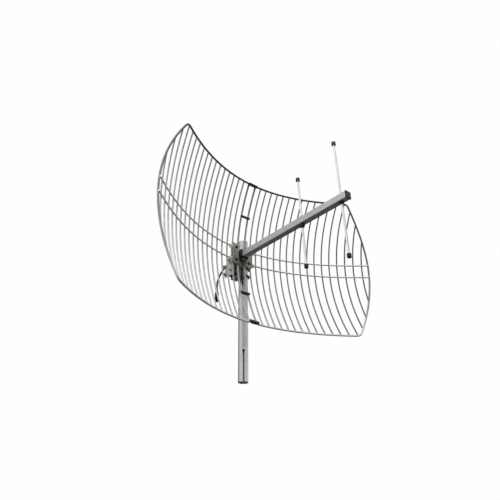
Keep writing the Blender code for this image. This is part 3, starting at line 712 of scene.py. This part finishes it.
def build_boom():
    outer = rounded_square(BOOM_HALF, 0.0022)
    inner = rounded_square(BOOM_HALF - BOOM_WALL, 0.0006)
    bm = bmesh.new()
    rings = []
    for y in (BOOM_FRONT, BOOM_REAR):
        rings.append([[bm.verts.new((x, y, z)) for x, z in loop] for loop in (outer, inner)])
    count = len(outer)
    for i in range(count):
        j = (i + 1) % count
        bm.faces.new((rings[0][0][i], rings[0][0][j], rings[1][0][j], rings[1][0][i]))
        bm.faces.new((rings[0][1][j], rings[0][1][i], rings[1][1][i], rings[1][1][j]))
        for end in rings:
            bm.faces.new((end[0][i], end[1][i], end[1][j], end[0][j]))
    cutters = [bar(on_rod(y, -0.03), on_rod(y, 0.03), ROD_R + GAP, 32) for y in (DIPOLE_Y, SUB_Y)]
    cutters += [bar((0, y, -0.03), (0, y, 0.03), M6_HOLE_R) for y in (COLLAR_BOLT_Y, SLEEVE_BOLT_Y)]
    cutters += [bar((-0.03, y, 0), (0.03, y, 0), M6_HOLE_R) for y in (PIVOT_Y, LOCK_Y)]
    cutters.append(bar((0, BOOM_SCREW_Y, 0), (0, BOOM_SCREW_Y, 0.03), 0.0024))
    shape("boom_tube", carved(bm, *cutters), "boom", stands_for=("boom",))
    top = BOOM_HALF + GAP + 0.0028
    profile = [(0, 0.0026), (0.0003, 0.0036), (0.0010, 0.0045), (0.0018, 0.0048), (0.0028, 0.0048)]
    profile += [(0.00285, 0.0020)] + thread(0.0030, 0.0058, 0.0020, 0.0007)
    slotted = carved(
        lathe(profile, (0, BOOM_SCREW_Y, top), (0, 0, -1), 24),
        box((-0.006, 0.006), (BOOM_SCREW_Y - 0.0005, BOOM_SCREW_Y + 0.0005), (top - 0.0012, top + 0.001)),
    )
    shape("boom_screw_turned", slotted, "black", stands_for=("boom_screw",))
    refined("boom_end_cap", "plastic", 0.0010, 3)
    refined("boom_rear_plug", "plastic", 0.0006)
    refined("boom_collar", "black", 0.0010, 3)


def on_rod(y, along):
    """The point of a feed rod's axis this far up it from the boom's axis."""
    return Vector((-math.sin(FEED_LEAN) * along, y, math.cos(FEED_LEAN) * along))


def chamfered_rod(name, node, y, low, high):
    soft = 0.0006
    profile = [(0, ROD_R - soft), (soft, ROD_R), (high - low - soft, ROD_R), (high - low, ROD_R - soft)]
    bm = lathe(profile, on_rod(y, low), on_rod(0, 1), 32)
    shape(name, bm, "rod", stands_for=(node,))


def build_feed():
    chamfered_rod("dipole_upper_rod", "dipole_arm_upper", DIPOLE_Y, BOOM_HALF - 0.005, DIPOLE_REACH)
    chamfered_rod("dipole_lower_rod", "dipole_arm_lower", DIPOLE_Y, -DIPOLE_REACH, -BOOM_HALF + 0.005)
    chamfered_rod("sub_rod", "sub_reflector_rod", SUB_Y, -SUB_REACH[0], SUB_REACH[1])
    for node, y, tip, way in (
        ("dipole_cap_upper", DIPOLE_Y, DIPOLE_REACH, 1),
        ("dipole_cap_lower", DIPOLE_Y, -DIPOLE_REACH, -1),
        ("sub_cap_upper", SUB_Y, SUB_REACH[1], 1),
        ("sub_cap_lower", SUB_Y, -SUB_REACH[0], -1),
    ):
        r = CAP_R
        profile = [(0, r * 0.97), (0.0004, r), (0.0016, r), (0.0019, r * 0.95)]
        profile += [(CAP_LENGTH - 0.0032, r * 0.95), (CAP_LENGTH - 0.0016, r * 0.90)]
        profile += [(CAP_LENGTH - 0.0006, r * 0.74), (CAP_LENGTH, r * 0.42)]
        start = on_rod(y, tip - way * CAP_OVER)
        inside = (on_rod(y, tip - way * (CAP_OVER + 0.002)), on_rod(y, tip + way * GAP))
        bm = carved(lathe(profile, start, on_rod(0, way), 32), bar(*inside, ROD_R + GAP, 32))
        shape(node + "_moulded", bm, "plastic", stands_for=(node,))
    for node, y, way, radius, height in (
        ("dipole_insulator_upper", DIPOLE_Y, 1, 0.0085, 0.006),
        ("dipole_insulator_lower", DIPOLE_Y, -1, 0.0100, 0.013),
        ("sub_grommet_upper", SUB_Y, 1, 0.0070, 0.004),
        ("sub_grommet_lower", SUB_Y, -1, 0.0085, 0.009),
    ):
        profile = [(0, radius * 0.96), (0.0005, radius), (height * 0.55, radius)]
        profile += [(height * 0.62, radius * 0.93), (height - 0.0008, radius * 0.76), (height, radius * 0.66)]
        start = (0, y, way * (BOOM_HALF + GAP))
        hollow = bar(on_rod(y, 0), on_rod(y, way * 0.05), ROD_R + GAP, 32)
        bm = carved(lathe(profile, start, (0, 0, way), 32), hollow)
        shape(node + "_moulded", bm, "plastic", stands_for=(node,))
    refined("feed_terminal", "plastic")
    bm = bar((0, DIPOLE_Y + 0.0123, 0), (0, COLLAR_BOLT_Y - 0.006, 0), COAX_R)
    shape("feed_coax_line", bm, "jacket", stands_for=("feed_coax",))


# --- Centre, bracket and clamp -------------------------------------------------------


def build_centre():
    for label in ("left", "right"):
        refined("rib_clamp_" + label, "plate", 0.0007, 3)
    refined("hub_plate", "cast", 0.0006)
    for label in ("top", "upper", "lower", "bottom"):
        refined("seam_clip_" + label, "plastic", 0.0007, 3)
    refined("tilt_bracket", "cast", 0.0006, body="mast_clamp")
    refined("clamp_v_block", "clamp", 0.0005, body="mast_clamp")
    refined("tie_strap", "plastic", 0.0004, body="mast_clamp")


def build_mast():
    foot = -DISH.z
    length = MAST_TOP - foot
    soft = 0.0006
    inner = MAST_R - MAST_WALL
    profile = [(0, MAST_R - soft), (soft, MAST_R), (length - soft, MAST_R), (length, MAST_R - soft)]
    turn = math.radians(SLIT_TURN)
    out = Vector((math.sin(turn), -math.cos(turn), 0))
    centre = Vector((MAST_X, MAST_Y, foot + SLIT_TOP))
    half = SLIT_WIDTH / 2
    slit = box((-half, half), (-0.03, 0.0), (-0.02, SLIT_TOP))
    slit.transform(Matrix.Translation((MAST_X, MAST_Y, foot)) @ Matrix.Rotation(turn, 4, "Z"))
    bm = carved(
        lathe(profile, (MAST_X, MAST_Y, foot), (0, 0, 1), 96),
        bar((MAST_X, MAST_Y, foot - 0.01), (MAST_X, MAST_Y, MAST_TOP + 0.01), inner, 96),
        bar(centre, centre + out * 0.03, SLIT_HOLE_R, 32),
        slit,
    )
    shape("mast_tube", bm, "mast", "mast_stub", ("mast",))


# --- Coax pigtail ----------------------------------------------------------------------


def smooth_route(knots, spacing):
    knots = [2 * Vector(knots[0]) - Vector(knots[1])] + [Vector(k) for k in knots]
    knots.append(2 * knots[-1] - knots[-2])
    fine = []
    for a, b, c, d in zip(knots, knots[1:], knots[2:], knots[3:]):
        for i in range(40):
            t = i / 40
            curve = 2 * b + (c - a) * t + (2 * a - 5 * b + 4 * c - d) * t * t
            fine.append(0.5 * (curve + (3 * b - a - 3 * c + d) * t**3))
    fine.append(knots[-2])
    along = [0.0]
    for p, q in zip(fine, fine[1:]):
        along.append(along[-1] + (q - p).length)
    count = max(2, round(along[-1] / spacing) + 1)
    wanted = np.linspace(0, along[-1], count)
    columns = [np.interp(wanted, along, [p[i] for p in fine]) for i in range(3)]
    return [Vector(p) for p in zip(*columns)], along[-1]


def build_pigtail():
    knots = (
        COAX_EXIT,
        (0, 0.0880, -0.0042),
        (0, 0.1100, -0.0125),
        (0, 0.1360, -0.0320),
        (0, 0.1518, -0.0560),
        (0, CONNECTOR_Y - 0.0002, -0.0725),
        (0, CONNECTOR_Y, CONNECTOR_TOP + GAP),
    )
    points, length = smooth_route(knots, 0.0025)
    data = bpy.data.curves.new("coax_lead", "CURVE")
    data.dimensions = "3D"
    data.bevel_depth = COAX_R
    data.bevel_resolution = 5
    data.use_fill_caps = True
    spline = data.splines.new("POLY")
    spline.points.add(len(points) - 1)
    for spot, point in zip(spline.points, points):
        spot.co = (*(point + DISH), 1.0)
    spline.use_smooth = True
    data.materials.append(MATERIAL["jacket"])
    cord = bpy.data.objects.new("coax_lead", data)
    bpy.context.scene.collection.objects.link(cord)
    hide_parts("coax_pigtail")
    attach(cord, "reflector")
    down = (0, 0, -1)
    r = 0.0056
    crimp = [(0, 0.0046), (0.0004, 0.0050), (0.0012, r), (0.0030, r), (0.0034, r * 0.93), (0.0120, r * 0.93)]
    crimp += [(0.0124, r), (0.0150, r), (CRIMP_LENGTH, 0.0050)]
    ferrule = shape(
        "connector_crimp",
        lathe(crimp, (0, CONNECTOR_Y, CONNECTOR_TOP), down, 6),
        "nickel",
        stands_for=("connector_ferrule",),
    )
    start = CONNECTOR_TOP - CRIMP_LENGTH - GAP
    body_profile = [(0, 0.0060), (0.0006, 0.0066), (0.0056, 0.0066), (0.0062, 0.0078), (0.0068, 0.0081)]
    body_profile += [(0.0152, 0.0081), (0.0160, 0.0076), (0.0164, 0.0070), (0.0180, 0.0070), (0.0184, 0.0074)]
    body_profile += thread(0.0186, 0.0224, 0.0079, 0.0010)
    body_profile.append((CONNECTOR_LENGTH, 0.0074))
    spot = (0, CONNECTOR_Y, start)
    shell = carved(
        lathe(body_profile, spot, down, 32),
        bar((0, CONNECTOR_Y, start - 0.033), (0, CONNECTOR_Y, start - 0.05), 0.0058, 32),
    )
    ridges = []
    for i in range(28):
        angle = 2 * math.pi * i / 28
        way = Vector((math.cos(angle), math.sin(angle), 0)) * 0.00795
        low = Vector((0, CONNECTOR_Y, start - 0.0148)) + way
        ridges.append(bar(low, low + Vector((0, 0, 0.0076)), 0.00024, 6))
    body = shape(
        "connector_shell", merged(shell, *ridges), "black", stands_for=("connector_body",)
    )
    pin_top = Vector((0, CONNECTOR_Y, start - 0.0325))
    tip = [(0, 0.0015), (0.0065, 0.0015), (0.0075, 0.0010)]
    pin = shape("connector_contact", lathe(tip, pin_top, down, 20), "brass")
    ring = [(0, 0.0016), (0.0025, 0.0016), (0.0025, 0.0046), (0, 0.0050)]
    seat = shape("connector_seat", lathe(ring, pin_top, down, 28, closed=True), "white")


# --- Surroundings ------------------------------------------------------------------------

BACKGROUND = 0.992
DOME = ((0.0, 0.10), (0.42, 0.12), (0.53, 1.0))  # brightness from straight down to straight up
# Brightness round the horizon: 0 and 1 look along -X, 0.25 along -Y, 0.5 along +X, 0.75 along +Y
BANDS = (
    (0.0, 1.0),
    (0.03, 1.0),
    (0.10, 0.66),
    (0.22, 0.62),
    (0.30, 0.90),
    (0.50, 0.90),
    (0.64, 0.80),
    (0.71, 0.20),
    (0.82, 0.20),
    (0.90, 0.85),
)
DOME_STRENGTH = 0.9
FLOOR_RADIUS, FLOOR_TONE, FLOOR_GLOW = 40.0, 0.34, 0.62
LAMP_AIM = Vector((0, -0.2, 0.5))
LAMPS = (
    ("key", (-1.2, -1.2, 2.6), 1.6, 26.0),
    ("side", (-2.0, -0.35, 0.50), 1.2, 24.0),
    ("rim", (0.6, 2.4, 2.2), 1.4, 12.0),
)


def build_floor():
    """A pale floor under the mast's foot, seen only from above."""
    bm = bmesh.new()
    bmesh.ops.create_circle(bm, cap_ends=True, segments=96, radius=FLOOR_RADIUS)
    mesh = bpy.data.meshes.new("floor")
    bm.to_mesh(mesh)
    bm.free()
    floor = bpy.data.objects.new("floor", mesh)
    floor.location = (0, 0, -0.0005)
    material = bpy.data.materials.new("floor")
    material.use_nodes = True
    tree = material.node_tree
    shader = tree.nodes["Principled BSDF"]
    shader.inputs["Base Color"].default_value = (FLOOR_TONE, FLOOR_TONE, FLOOR_TONE, 1)
    shader.inputs["Roughness"].default_value = 0.9
    shader.inputs["Specular IOR Level"].default_value = 0.1
    shader.inputs["Emission Color"].default_value = (1.0, 1.0, 1.0, 1)
    shader.inputs["Emission Strength"].default_value = FLOOR_GLOW
    side = tree.nodes.new("ShaderNodeNewGeometry")
    clear = tree.nodes.new("ShaderNodeBsdfTransparent")
    either = tree.nodes.new("ShaderNodeMixShader")
    tree.links.new(side.outputs["Backfacing"], either.inputs[0])
    tree.links.new(shader.outputs[0], either.inputs[1])
    tree.links.new(clear.outputs[0], either.inputs[2])
    tree.links.new(either.outputs[0], tree.nodes["Material Output"].inputs["Surface"])
    mesh.materials.append(material)
    floor.visible_diffuse = False
    floor.visible_glossy = False
    floor.visible_shadow = False
    floor.visible_transmission = False
    bpy.context.scene.collection.objects.link(floor)


def build_light():
    """White for the camera, and for the object a soft dome with darker bands round it over a dark ground."""
    scene = bpy.context.scene
    scene.view_settings.view_transform = "Standard"
    world = bpy.data.worlds.new("studio")
    scene.world = world
    world.use_nodes = True
    tree = world.node_tree

    def node(kind, **settings):
        made = tree.nodes.new(kind)
        for key, value in settings.items():
            setattr(made, key, value)
        return made

    def ramp(value, stops):
        made = node("ShaderNodeValToRGB")
        points = made.color_ramp.elements
        while len(points) < len(stops):
            points.new(0.5)
        for point, (at, grey) in zip(points, stops):
            point.position = at
            point.color = (grey, grey, grey, 1.0)
        tree.links.new(value, made.inputs["Fac"])
        return made.outputs["Color"]

    spot = node("ShaderNodeTexCoord").outputs["Generated"]
    parts = node("ShaderNodeSeparateXYZ")
    height = node("ShaderNodeMapRange")
    height.inputs["From Min"].default_value = -1.0
    tree.links.new(spot, parts.inputs[0])
    tree.links.new(parts.outputs["Z"], height.inputs["Value"])
    round_it = node("ShaderNodeTexGradient", gradient_type="RADIAL")
    tree.links.new(spot, round_it.inputs["Vector"])
    both = node("ShaderNodeMix", data_type="RGBA", blend_type="MULTIPLY")
    both.inputs[0].default_value = 1.0
    tree.links.new(ramp(height.outputs["Result"], DOME), both.inputs[6])
    tree.links.new(ramp(round_it.outputs["Fac"], BANDS), both.inputs[7])
    dome = tree.nodes["Background"]
    dome.inputs["Strength"].default_value = DOME_STRENGTH
    tree.links.new(both.outputs[2], dome.inputs["Color"])
    white = node("ShaderNodeBackground")
    white.inputs["Color"].default_value = (1.0, 1.0, 1.0, 1.0)
    white.inputs["Strength"].default_value = BACKGROUND
    either = node("ShaderNodeMixShader")
    tree.links.new(node("ShaderNodeLightPath").outputs["Is Camera Ray"], either.inputs[0])
    tree.links.new(dome.outputs[0], either.inputs[1])
    tree.links.new(white.outputs[0], either.inputs[2])
    tree.links.new(either.outputs[0], tree.nodes["World Output"].inputs["Surface"])
    for name, place, size, power in LAMPS:
        light = bpy.data.lights.new(name, "AREA")
        light.size = size
        light.energy = power
        lamp = bpy.data.objects.new(name, light)
        lamp.location = place
        lamp.visible_glossy = name != "side"
        lamp.rotation_euler = (LAMP_AIM - Vector(place)).to_track_quat("-Z", "Y").to_euler()
        scene.collection.objects.link(lamp)


MATERIAL = build_materials()
build_camera()
build_pigtail()
for label, side in (("left", -1), ("right", 1)):
    grid_half(label, side)
build_boom()
build_feed()
build_centre()
build_fasteners()
build_mast()
build_floor()
build_light()
